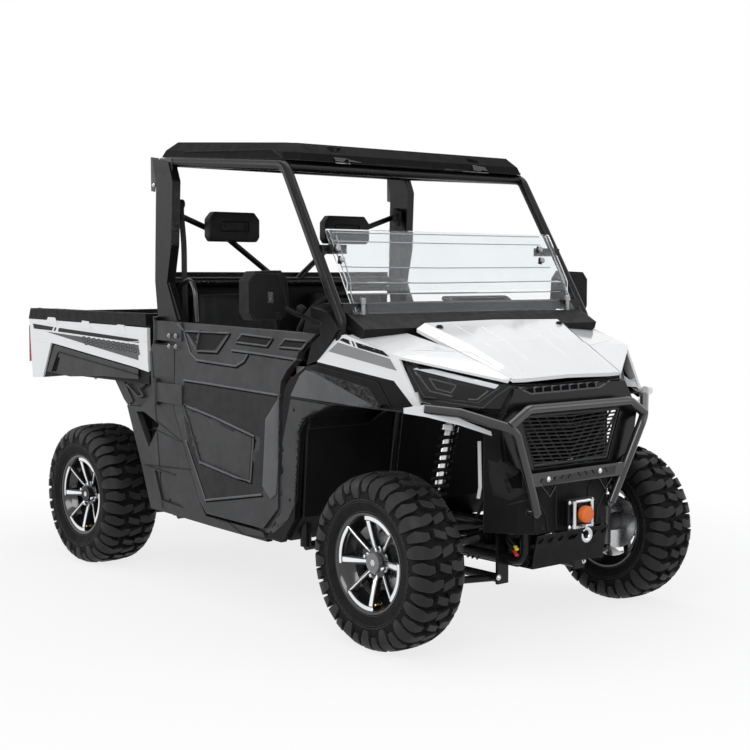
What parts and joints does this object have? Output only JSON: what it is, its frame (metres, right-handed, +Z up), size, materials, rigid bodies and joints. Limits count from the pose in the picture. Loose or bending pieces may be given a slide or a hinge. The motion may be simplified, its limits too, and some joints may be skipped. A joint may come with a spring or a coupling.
{
  "type": "side by side utility vehicle",
  "caption": "Two-seat utility side by side with hard roof, half doors, folded windscreen, winch bumper, lugged tyres and a tipping load bed with tailgate",
  "frame": {"origin": "on the floor under the middle of the bounding box", "axes": "X forward, Y to the left, Z up"},
  "size_m": [3.267, 1.972, 2.0381],
  "materials": {
    "frame_black": "satin black powder coat",
    "skid": "matt black",
    "engine": "grey cast block",
    "dark_plastic": "grained dark plastic",
    "white_panel": "gloss white with grey and black stripes",
    "lamp": "clear lens",
    "tail_lamp": "red lens",
    "winch": "satin black",
    "hook": "bright steel with an orange stopper",
    "screen": "clear polycarbonate",
    "seat": "black vinyl",
    "steel": "machined steel",
    "arm": "satin black",
    "shock": "silver and white spring",
    "rim": "gloss black with machined edges",
    "tyre": "mud tyre",
    "mirror": "black shell",
    "exhaust": "dull steel"
  },
  "bodies": {
    "vehicle": {"chassis_frame": "frame_black", "skid_plate": "skid", "engine_block": "engine", "floor_tub": "dark_plastic", "side_panels": "dark_plastic", "front_quarters": "dark_plastic", "front_fenders": "white_panel", "tail_frame": "frame_black", "hitch_receiver": "frame_black", "front_fascia": "dark_plastic", "headlamps": "lamp", "grille": "dark_plastic", "front_bumper": "frame_black", "winch": "winch", "nose_cover": "dark_plastic", "winch_hook": "hook", "dashboard": "dark_plastic", "roof": "dark_plastic", "windscreen": "screen", "roll_cage": "frame_black", "seat_cushions": "seat", "seat_backs": "seat", "rear_panel": "dark_plastic", "mirrors": "mirror", "suspension_arms": "arm", "shock_absorbers": "shock", "drive_shafts": "steel", "muffler": "exhaust"},
    "bonnet": {"hood": "white_panel"},
    "right_door": {"door_right": "dark_plastic"},
    "left_door": {"door_left": "dark_plastic"},
    "steering_wheel_body": {"steering_wheel": "dark_plastic"},
    "right_knuckle": {"knuckle_right": "steel"},
    "left_knuckle": {"knuckle_left": "steel"},
    "steering_rack": {"tie_rods": "steel"},
    "load_bed": {"bed_tray": "dark_plastic", "bed_sides": "white_panel", "bed_rails": "dark_plastic", "tail_lamps": "tail_lamp"},
    "tail_gate": {"tailgate": "dark_plastic"},
    "dump_strut": {"strut_barrel": "frame_black"},
    "dump_strut_rod": {"strut_rod": "steel"},
    "wheel_front_right": {"rim_front_right": "rim", "tyre_front_right": "tyre"},
    "wheel_front_left": {"rim_front_left": "rim", "tyre_front_left": "tyre"},
    "wheel_rear_right": {"rim_rear_right": "rim", "tyre_rear_right": "tyre"},
    "wheel_rear_left": {"rim_rear_left": "rim", "tyre_rear_left": "tyre"}
  },
  "joints": [
    {"name": "steer_right", "type": "hinge", "parent": "vehicle", "child": "right_knuckle", "pos_m": [1.2035, -0.59, 0.343], "axis": [0, 0, 1], "range_deg": [-30, 30]},
    {"name": "steer_left", "type": "hinge", "parent": "vehicle", "child": "left_knuckle", "pos_m": [1.2035, 0.59, 0.343], "axis": [0, 0, 1], "range_deg": [-30.1, 30.1]},
    {"name": "steering_turn", "type": "hinge", "parent": "vehicle", "child": "steering_wheel_body", "pos_m": [0.4335, -0.34, 1.18], "axis": [-0.9135, 0, 0.4067], "range_deg": [-240.1, 240.1]},
    {"name": "spin_front_right", "type": "hinge", "parent": "right_knuckle", "child": "wheel_front_right", "pos_m": [1.2035, -0.675, 0.343], "axis": [0, 1, 0], "continuous": true},
    {"name": "spin_front_left", "type": "hinge", "parent": "left_knuckle", "child": "wheel_front_left", "pos_m": [1.2035, 0.675, 0.343], "axis": [0, 1, 0], "continuous": true},
    {"name": "spin_rear_right", "type": "hinge", "parent": "vehicle", "child": "wheel_rear_right", "pos_m": [-0.9965, -0.675, 0.343], "axis": [0, 1, 0], "continuous": true},
    {"name": "spin_rear_left", "type": "hinge", "parent": "vehicle", "child": "wheel_rear_left", "pos_m": [-0.9965, 0.675, 0.343], "axis": [0, 1, 0], "continuous": true},
    {"name": "door_right_open", "type": "hinge", "parent": "vehicle", "child": "right_door", "pos_m": [-0.3445, -0.7574, 1], "axis": [0, 0, -1], "range_deg": [0, 70]},
    {"name": "door_left_open", "type": "hinge", "parent": "vehicle", "child": "left_door", "pos_m": [-0.3445, 0.7574, 1], "axis": [0, 0, 1], "range_deg": [0, 70]},
    {"name": "hood_lift", "type": "hinge", "parent": "vehicle", "child": "bonnet", "pos_m": [1.5155, 0, 1.02], "axis": [0, 1, 0], "range_deg": [0, 50]},
    {"name": "bed_tilt", "type": "hinge", "parent": "vehicle", "child": "load_bed", "pos_m": [-1.3765, 0, 0.815], "axis": [0, -1, 0], "range_deg": [0, 40]},
    {"name": "tailgate_drop", "type": "hinge", "parent": "load_bed", "child": "tail_gate", "pos_m": [-1.5795, 0, 0.947], "axis": [0, -1, 0], "range_deg": [0, 90]},
    {"name": "strut_swing", "type": "hinge", "parent": "vehicle", "child": "dump_strut", "pos_m": [-0.7215, -0.15, 0.371], "axis": [0, -1, 0], "range_deg": [0, 2.4]},
    {"name": "strut_extend", "type": "slide", "parent": "dump_strut", "child": "dump_strut_rod", "axis": [-0.3736, 0, 0.9276], "range_m": [0, 0.3105]},
    {"name": "rack_slide", "type": "slide", "parent": "vehicle", "child": "steering_rack", "axis": [0, 1, 0], "range_m": [-0.0515, 0.0515]}
  ],
  "couplings": [
    {"joint": "steer_left", "follows": "steer_right", "ratio": 1},
    {"joint": "steering_turn", "follows": "steer_right", "ratio": 8},
    {"joint": "rack_slide", "follows": "steer_right", "m_per_rad": -0.098},
    {"joint": "strut_swing", "follows": "bed_tilt", "ratio": 0.0568},
    {"joint": "strut_extend", "follows": "bed_tilt", "m_per_rad": 0.4438}
  ]
}
